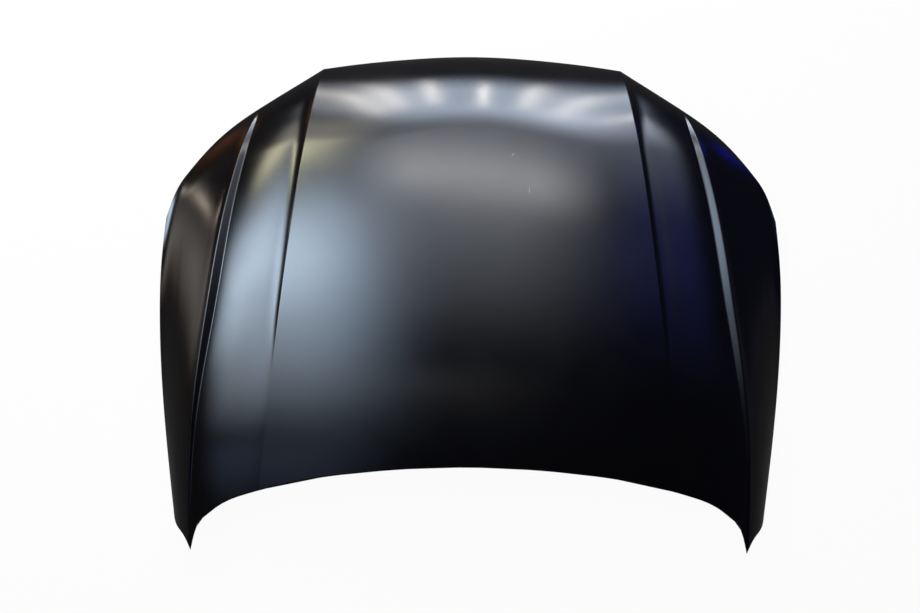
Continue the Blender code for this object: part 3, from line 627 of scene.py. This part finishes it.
@dataclass
class SkinGrid:
    """A fine lattice on the skin, by column from left to right and by row to the nose."""

    form: BonnetForm
    lift: float
    insets: tuple[float, ...] = (0.0, 4 * MM, 10 * MM, 16 * MM, 22 * MM)
    side_fill: int = 7
    probe: float = 0.004
    sharpest_sine: float = 0.3
    body_step: float = 9 * MM
    nose_step: float = 4 * MM
    nose_share: float = 0.78

    def __post_init__(self) -> None:
        """Work out the grid's points and normals."""
        self.columns = self.inner_columns()
        self.count = len(self.columns) + self.side_fill + len(self.insets)
        shares = self.row_shares()
        creased = np.array([self.column_points(i, shares[i], True) for i in range(self.count)])
        plain = np.array([self.column_points(i, shares[i], False) for i in range(self.count)])
        self.points = self.both_halves(creased)
        self.normals = self.surface_normals(self.points)
        self.plain_normals = self.surface_normals(self.both_halves(plain))

    def inner_columns(self) -> list[Column]:
        """Return the right half's columns, from the centreline to the side's insets."""
        spans = (
            (Line.CENTRE, Line.DOME, None,
             [*np.linspace(0, 0.90, 35), 0.93, 0.955, 0.972, 0.983, 0.990, 0.994, 0.997]),
            (Line.DOME, Line.FOOT, None, [0, 0.02, 0.04, 0.07, *np.linspace(0.11, 0.92, 13)]),
            (Line.FOOT, Line.VALLEY, None, [*np.linspace(0, 0.93, 15), 0.955, 0.972, 0.984, 0.993]),
            (Line.VALLEY, Line.RIDGE, None, [0, 0.05, 0.11, 0.2, 0.4, 0.6, 0.8, 0.89, 0.95]),
            (Line.RIDGE, Line.CREST, None, [0, 0.08, 0.16, 0.3, 0.5, 0.7, 0.85]),
            (Line.CREST, Line.SIDE, ((0, 0), (0.25, 0.32), (0.55, 0.64), (1, 1)),
             [0, 0.04, 0.08, *np.linspace(0.13, 0.55, 9)]),
        )
        columns = []
        for left, right, fan, shares in spans:
            front = SmoothCurve(*fan) if fan else (lambda s: s)
            columns += [Column(left, right, float(s), float(front(s))) for s in shares]
        return columns

    def side_column(self, inset: float, share: Array, part: float = 1.0) -> Column:
        """Return the column that runs beside the side edge.

        Args:
            inset: Its distance from the edge.
            share: Positions from the rear edge, 0, to the front edge, 1.
            part: How far it lies from the last inner column, 0, to that inset, 1.

        Returns:
            The column.
        """
        form, last = self.form, self.columns[-1]
        side = Column(Line.SIDE, Line.SIDE, 0.0, 0.0)
        outer = form.point(side, share)
        ahead = form.point(side, share + np.where(share < 0.5, self.probe, -self.probe))
        run = outer - form.point(last, share)
        length = np.linalg.norm(run, axis=-1)
        between = part * (1 - inset / length / self.sine(run, ahead - outer))
        at = mix(mix(last.rear, last.front, share), 1, between)
        return Column(last.left, last.right, at, at)

    def column_points(self, index: int, share: Array, creased: bool) -> Array:
        """Return the points of a column, given by its number from the centreline."""
        if index < len(self.columns):
            return self.form.point(self.columns[index], share, creased)
        step = index + 1 - len(self.columns)
        inset = self.insets[min(self.count - 1 - index, len(self.insets) - 1)]
        part = min(step / (self.side_fill + 1), 1.0)
        return self.form.point(self.side_column(inset, share, part), share, creased)

    def sine(self, first: Array, second: Array) -> Array:
        """Return the sine of the angle between directions, not below a limit."""
        area = np.linalg.norm(np.cross(first, second), axis=-1)
        return np.maximum(area / np.linalg.norm(first, axis=-1) / np.linalg.norm(second, axis=-1),
                          self.sharpest_sine)

    def row_shares(self) -> Array:
        """Return every column's row positions, with the hem's rows at each end."""
        length = self.form.length / 2 - self.form.rear_middle[1]
        body = np.linspace(0, self.nose_share, round(self.nose_share * length / self.body_step), endpoint=False)
        nose = np.linspace(self.nose_share, 1, round((1 - self.nose_share) * length / self.nose_step))
        middle = np.concatenate((body, nose))[1:-1]
        ends = np.array([self.column_points(i, np.array([0, self.probe, 1 - self.probe, 1]), True)
                         for i in range(self.count)])
        rows = []
        for i in range(self.count):
            reach = []
            for edge, inner in ((0, 1), (3, 2)):
                run = ends[i, inner] - ends[i, edge]
                beside = [ends[k, edge] - ends[i, edge] for k in (i - 1, i + 1) if 0 <= k < self.count]
                reach.append(self.probe / np.linalg.norm(run) / min(self.sine(run, side) for side in beside))
            rear = [reach[0] * inset for inset in self.insets]
            front = [1 - reach[1] * inset for inset in reversed(self.insets)]
            rows.append(np.array([*rear, *mix(rear[-1], front[0], middle), *front]))
        return np.array(rows)

    def both_halves(self, right: Array) -> Array:
        """Return the whole grid from its right half, lifted to the floor's frame."""
        whole = np.concatenate((right[:0:-1] * (-1, 1, 1), right))
        return whole + (0, 0, self.lift)

    @staticmethod
    def surface_normals(points: Array) -> Array:
        """Return the unit normals of a grid of points."""
        normals = np.cross(np.gradient(points, axis=0), np.gradient(points, axis=1))
        return normals / np.linalg.norm(normals, axis=2)[:, :, None]


@dataclass
class OuterSkin:
    """The outer skin: one pressed sheet with its edge folded back under the inner frame."""

    grid: SkinGrid
    bead_steps: int = 8
    fold_ring: int = 2
    tip_taper: float = 0.2
    tip_room: float = 0.25 * MM

    def build(self, finish: bpy.types.Material) -> bpy.types.Object:
        """Build the skin and let it stand for its CAD node.

        Args:
            finish: The primer.

        Returns:
            The skin's object.
        """
        form, grid = self.grid.form, self.grid
        width, rows = grid.points.shape[:2]
        thick, fold = form.skin_thickness, form.hem_depth
        depths = {"top": 0.0, "under": thick, "slot": fold - thick, "fold": fold}
        edge = self.edge_loop(width, rows)
        inward = self.inward(edge)
        points, numbers = [], {}

        def vertex(i: int, j: int, level: str) -> int:
            """Return the number of a grid vertex at a level."""
            key = (i, j, level)
            if key not in numbers:
                numbers[key] = len(points)
                place = grid.points[i, j] - depths[level] * grid.normals[i, j]
                points.append(place + inward[i, j] if (i, j) in inward else place)
            return numbers[key]

        faces = []
        for i in range(width - 1):
            for j in range(rows - 1):
                inset = min(i, j, width - 2 - i, rows - 2 - j)
                cell = ((i, j), (i + 1, j), (i + 1, j + 1), (i, j + 1))
                levels = [("top", True)]
                levels += [("under", False)] if inset >= 1 else []
                levels += [("fold", False)] if inset < self.fold_ring else []
                levels += [("slot", True)] if 1 <= inset < self.fold_ring else []
                for level, up in levels:
                    face = [vertex(*corner, level) for corner in cell]
                    faces.append(face if up else face[::-1])
        faces += self.ring_walls(vertex, width, rows)
        self.add_bead(points, faces, edge, inward, vertex)
        skin = add_mesh("skin", points, faces, finish)
        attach(skin, "root")
        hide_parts("outer_skin")
        LOG.info("skin: %d faces", len(faces))
        return skin

    @staticmethod
    def edge_loop(width: int, rows: int, inset: int = 0) -> list[tuple[int, int]]:
        """Return the grid's points round the edge, seen from above anticlockwise."""
        right, top = width - 1 - inset, rows - 1 - inset
        loop = [(i, inset) for i in range(inset, right)]
        loop += [(right, j) for j in range(inset, top)]
        loop += [(i, top) for i in range(right, inset, -1)]
        return loop + [(inset, j) for j in range(top, inset, -1)]

    def inward(self, edge: list[tuple[int, int]]) -> dict[tuple[int, int], Array]:
        """Return how far each edge point moves in, to leave room for the hem's round edge."""
        form, grid = self.grid.form, self.grid
        radius = form.hem_depth / 2
        tip = np.array([(sign * form.horn_tip[0], form.horn_tip[1]) for sign in (-1, 1)])
        moves = {}
        for k, key in enumerate(edge):
            place, normal = grid.points[key], grid.normals[key]
            along = grid.points[edge[(k + 1) % len(edge)]] - grid.points[edge[k - 1]]
            inner = np.cross(normal, along)
            inner /= np.linalg.norm(inner)
            to_tip = np.linalg.norm(tip - place[:2], axis=1).min()
            moves[key] = inner * min(radius, self.tip_taper * to_tip + self.tip_room)
        return moves

    def ring_walls(self, vertex: Callable[[int, int, str], int], width: int, rows: int) -> list[list[int]]:
        """Return the inner walls of the fold: its bend and its cut edge."""
        faces = []
        for inset, upper, lower in ((1, "under", "slot"), (self.fold_ring, "slot", "fold")):
            loop = self.edge_loop(width, rows, inset)
            for start, end in zip(loop, loop[1:] + loop[:1]):
                faces.append([vertex(*end, upper), vertex(*end, lower), vertex(*start, lower),
                              vertex(*start, upper)])
        return faces

    def add_bead(self, points: list, faces: list, edge: list, inward: dict,
                 vertex: Callable[[int, int, str], int]) -> None:
        """Add the hem's round outer edge, from the top sheet to the fold."""
        form, grid = self.grid.form, self.grid
        radius = form.hem_depth / 2
        rings = []
        for key in edge:
            normal, inner = grid.normals[key], inward[key]
            centre = grid.points[key] + inner - radius * normal
            ring = [vertex(*key, "top")]
            for step in range(1, self.bead_steps):
                angle = math.pi * step / self.bead_steps
                points.append(centre - inner * math.sin(angle) + radius * math.cos(angle) * normal)
                ring.append(len(points) - 1)
            rings.append([*ring, vertex(*key, "fold")])
        for here, after in zip(rings, rings[1:] + rings[:1]):
            for k in range(self.bead_steps):
                faces.append([here[k], here[k + 1], after[k + 1], after[k]])


@dataclass
class Fittings:
    """The CAD nodes that keep their shape: frame, seats, striker and mastic."""

    nodes: dict

    def dress(self, primer: bpy.types.Material, zinc: bpy.types.Material,
              mastic: bpy.types.Material) -> None:
        """Give each node its finish: zinc for hardware, mastic for the dabs, else primer."""
        for name, node in self.nodes.items():
            plated = "nut" in name or "bolt" in name or name in ("striker_plate", "striker_loop")
            finish = mastic if name.startswith("mastic") else zinc if plated else primer
            for slot in node.material_slots:
                slot.material = finish
            LOG.info("dressed %s", name)


class Facing(Enum):
    """Which way a softbox faces, as its turn about X and about Y in degrees."""

    DOWN = (0.0, 0.0)
    REARWARD = (-90.0, 0.0)
    FORWARD = (90.0, 0.0)
    RIGHTWARD = (0.0, -90.0)
    LEFTWARD = (0.0, 90.0)


@dataclass(frozen=True)
class Softbox:
    """A lamp behind a rectangle of cloth, which fades towards its edges."""

    name: str
    place: tuple[float, float, float]
    size: tuple[float, float]
    brightness: float
    colour: str
    fade: tuple[float, float] = (0.5, 0.5)
    facing: Facing = Facing.DOWN
    turn_degrees: float = 0.0
    energy_per_area: float = 4.0

    def build(self) -> None:
        """Add the lamp, unseen by the camera."""
        data = bpy.data.lights.new(self.name, "AREA")
        data.shape = "RECTANGLE"
        data.size, data.size_y = self.size
        data.energy = self.energy_per_area * self.size[0] * self.size[1] * self.brightness
        data.color = linear(self.colour)[:3]
        data.use_nodes = True
        self.add_fade(data.node_tree)
        lamp = bpy.data.objects.new(self.name, data)
        about_x, about_y = (math.radians(a) for a in self.facing.value)
        turn = Matrix.Rotation(about_y, 4, "Y") @ Matrix.Rotation(about_x, 4, "X")
        own = Matrix.Rotation(math.radians(self.turn_degrees), 4, "Z")
        lamp.matrix_world = Matrix.Translation(self.place) @ turn @ own
        lamp.visible_camera = False
        bpy.context.scene.collection.objects.link(lamp)

    def add_fade(self, tree: Tree) -> None:
        """Let the cloth's brightness fall off towards its edges.

        Args:
            tree: The lamp's node tree.
        """
        tree.nodes.clear()
        spot = add_node(tree, "ShaderNodeNewGeometry").outputs["Parametric"]
        sides = add_node(tree, "ShaderNodeSeparateXYZ", None, {0: spot})
        falls = [ramp(tree, calculate(tree, "PINGPONG", sides.outputs[axis], 0.5), (0.0, reach), smooth=True)
                 for axis, reach in enumerate(self.fade)]
        glow = add_node(tree, "ShaderNodeEmission", None, {"Strength": calculate(tree, "MULTIPLY", *falls)})
        output = add_node(tree, "ShaderNodeOutputLight")
        tree.links.new(glow.outputs[0], output.inputs["Surface"])


@dataclass
class Studio:
    """White floor, softboxes and the camera at the photograph's angle."""

    elevation_degrees: float = 84.0
    distance: float = 3.0
    target: tuple[float, float, float] = (0.0, -0.0293, 0.08)
    lens_mm: float = 43.69
    sensor_mm: float = 36.0
    roll_degrees: float = 0.42
    picture_width: int = 920
    shift_pixels: Point = (-10.4, -2.0)
    white: str = "ffffff"
    floor_size: float = 30.0
    floor_drop: float = 1 * MM
    floor_colour: str = "2c2826"
    floor_glow: float = 0.95
    mirrored_glow: float = 0.07
    ceiling_height: float = 2.4
    front_wall_y: float = 2.9
    strip_size: Point = (0.12, 2.0)
    strip_brightness: float = 28.0
    strip_colour: str = "fff6e6"
    strip_places: tuple[Point, ...] = ((-1.0, 1.55), (-0.79, 1.3), (-0.44, 1.3), (0.14, 1.5), (0.62, 1.4),
                                       (0.98, 1.7))
    left_tint: str = "523c2c"
    right_tint: str = "383a54"
    tint_range: Point = (-0.8, 0.5)
    surround_range: Point = (0.4, 0.95)
    surround_levels: Point = (0.7, 0.08)
    horizon_range: Point = (0.05, 0.25)

    def build(self) -> None:
        """Build the camera, the floor, the lamps and the world."""
        self.add_camera()
        self.add_floor()
        for box in (*self.front_boxes(), *self.ceiling_boxes(), *self.wall_boxes()):
            box.build()
        self.add_world()
        bpy.context.scene.view_settings.view_transform = "Standard"

    def add_camera(self) -> None:
        """Add the camera above the bonnet."""
        angle = math.radians(self.elevation_degrees)
        target = Vector(self.target)
        place = target + self.distance * Vector((0, -math.cos(angle), math.sin(angle)))
        data = bpy.data.cameras.new("camera")
        data.lens = self.lens_mm
        data.sensor_width = self.sensor_mm
        data.shift_x, data.shift_y = (pixels / self.picture_width for pixels in self.shift_pixels)
        camera = bpy.data.objects.new("camera", data)
        turn = (target - place).to_track_quat("-Z", "Y")
        roll = Matrix.Rotation(math.radians(self.roll_degrees), 4, "Z")
        camera.matrix_world = Matrix.Translation(place) @ turn.to_matrix().to_4x4() @ roll
        bpy.context.scene.collection.objects.link(camera)
        bpy.context.scene.camera = camera

    def add_floor(self) -> None:
        """Add a floor that looks white to the camera, and dim in the primer."""
        made, tree, output = new_material("white_floor_paint")
        path = add_node(tree, "ShaderNodeLightPath")
        mirrored = calculate(tree, "MULTIPLY", mirrored_rays(tree, path), self.mirrored_glow)
        seen = calculate(tree, "MULTIPLY", path.outputs["Is Camera Ray"], self.floor_glow)
        glow = add_node(tree, "ShaderNodeEmission", None,
                        {"Color": linear(self.white), "Strength": calculate(tree, "MAXIMUM", mirrored, seen)})
        paint = add_node(tree, "ShaderNodeBsdfDiffuse", None, {"Color": linear(self.floor_colour)})
        both = add_node(tree, "ShaderNodeAddShader", None, {0: glow.outputs[0], 1: paint.outputs[0]})
        tree.links.new(both.outputs[0], output.inputs["Surface"])
        size = self.floor_size
        corners = [(-size, -size, 0), (size, -size, 0), (size, size, 0), (-size, size, 0)]
        floor = add_mesh("floor", corners, [(0, 1, 2, 3)], made)
        floor.location.z = -self.floor_drop

    def front_boxes(self) -> list[Softbox]:
        """Return the row of strip lamps and the cool panel behind it, ahead of the nose."""
        y, facing, strip = self.front_wall_y, Facing.REARWARD, self.strip_colour
        boxes = [
            Softbox("front_panel", (0.22, y + 0.1, 1.8), (3.1, 3.2), 7.6, "c8daf2", (0.2, 0.36), facing),
            Softbox("front_panel_high", (0.5, y + 0.15, 3.0), (4.2, 2.8), 3.6, "d2dcee", (0.4, 0.5), facing),
            Softbox("front_fill_left", (-1.3, y + 0.12, 1.75), (1.0, 1.6), 3.8, "d4dcea", facing=facing),
            Softbox("front_strip_high", (1.47, y, 2.1), (0.2, 1.1), 18.0, strip, facing=facing),
        ]
        boxes += [Softbox(f"front_strip_{k}", (x, y, z), self.strip_size, self.strip_brightness, strip,
                          (0.5, 0.35), facing)
                  for k, (x, z) in enumerate(self.strip_places, 1)]
        return boxes

    def ceiling_boxes(self) -> list[Softbox]:
        """Return the lamps under the ceiling."""
        z = self.ceiling_height
        return [
            Softbox("ceiling_band", (0.06, 1.42, z), (2.45, 0.6), 5.5, "f4f2f0", (0.3, 0.5), turn_degrees=-6.0),
            Softbox("ceiling_glow", (-0.2, 1.44, z + 0.1), (3.6, 3.0), 2.5, "dfe6f4", (0.4, 0.5)),
            Softbox("ceiling_glow_right", (1.6, 2.7, z + 0.05), (2.6, 3.2), 5.2, "c6d0e6"),
            Softbox("ceiling_glow_rear", (-0.42, 0.32, z + 0.1), (2.8, 1.4), 1.45, "eceaf0"),
            Softbox("left_softbox", (-2.2, 0.87, z), (3.0, 1.35), 12.5, "c8dcf0", (0.4, 0.45), turn_degrees=6.0),
            Softbox("left_softbox_rear", (-1.95, 0.4, z + 0.02), (2.7, 2.0), 5.6, "c8d8ea", (0.42, 0.5)),
            Softbox("left_tail", (-1.9, -0.5, z + 0.02), (2.8, 1.3), 0.9, "a8c0f0", (0.4, 0.5)),
            Softbox("left_spill", (-1.15, 0.62, z + 0.05), (1.8, 2.5), 3.9, "b4d0ec"),
            Softbox("left_spill_front", (-1.5, 2.5, z + 0.05), (1.6, 2.3), 3.4, "f0ece0"),
            Softbox("left_tube", (-1.85, 1.7, z), (1.9, 0.62), 14.5, "f4efc8", (0.45, 0.5), turn_degrees=12.0),
            Softbox("right_softbox", (1.85, 1.05, z), (2.3, 2.1), 1.0, "5a60d0", (0.45, 0.45)),
        ]

    def wall_boxes(self) -> list[Softbox]:
        """Return the lamps on the side walls and behind."""
        left, right = Facing.RIGHTWARD, Facing.LEFTWARD
        return [
            Softbox("left_wall_lamp", (-2.9, 1.22, 1.24), (0.26, 0.2), 20.0, "f6e6d2", facing=left),
            Softbox("left_wall_glow", (-3.0, 0.6, 0.92), (0.7, 1.7), 2.3, "ece2d8", facing=left,
                    turn_degrees=-40.0),
            Softbox("left_wall_warm", (-3.0, 2.7, 0.7), (1.8, 2.6), 1.4, "b06c3c", facing=left),
            Softbox("right_wall_glow", (3.2, 2.5, 0.8), (1.5, 1.4), 1.3, "2a32ff", facing=right),
            Softbox("rear_softbox", (0.0, -3.4, 2.2), (3.0, 1.6), 4.0, "f6f7fa", (0.3, 0.3), Facing.FORWARD),
        ]

    def add_world(self) -> None:
        """Add a dim surround, warm at the left, navy at the right and dark above, white to the camera."""
        world = bpy.data.worlds.new("studio")
        world.use_nodes = True
        tree = world.node_tree
        tree.nodes.clear()
        output = add_node(tree, "ShaderNodeOutputWorld")
        path = add_node(tree, "ShaderNodeLightPath")
        way = add_node(tree, "ShaderNodeTexCoord").outputs["Generated"]
        parts = add_node(tree, "ShaderNodeSeparateXYZ", None, {0: way})
        share = ramp(tree, parts.outputs["X"], self.tint_range, smooth=True)
        tint = mix_colours(tree, share, linear(self.left_tint), linear(self.right_tint))
        level = ramp(tree, parts.outputs["Z"], self.surround_range, self.surround_levels, smooth=True)
        dim = add_node(tree, "ShaderNodeBackground", None, {"Color": tint, "Strength": level})
        low = ramp(tree, parts.outputs["Z"], self.horizon_range, (self.mirrored_glow, 0.0), smooth=True)
        mirrored = calculate(tree, "MULTIPLY", mirrored_rays(tree, path), low)
        seen = calculate(tree, "MAXIMUM", path.outputs["Is Camera Ray"], mirrored)
        white = add_node(tree, "ShaderNodeBackground", None, {"Color": linear(self.white), "Strength": seen})
        both = add_node(tree, "ShaderNodeAddShader", None, {0: dim.outputs[0], 1: white.outputs[0]})
        tree.links.new(both.outputs[0], output.inputs["Surface"])
        bpy.context.scene.world = world


def main() -> None:
    """Build the bonnet's looks and the studio."""
    logging.basicConfig(level=logging.INFO)
    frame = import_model()
    primer = ElectroDipPrimer().material()
    zinc = ZincPlate().material()
    mastic = AntiFlutterMastic().material()
    form = BonnetForm()
    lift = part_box("outer_skin")[1].z - form.crown_height
    OuterSkin(SkinGrid(form, lift)).build(primer)
    Fittings(frame["nodes"]).dress(primer, zinc, mastic)
    Studio().build()


if __name__ == "__main__":
    main()
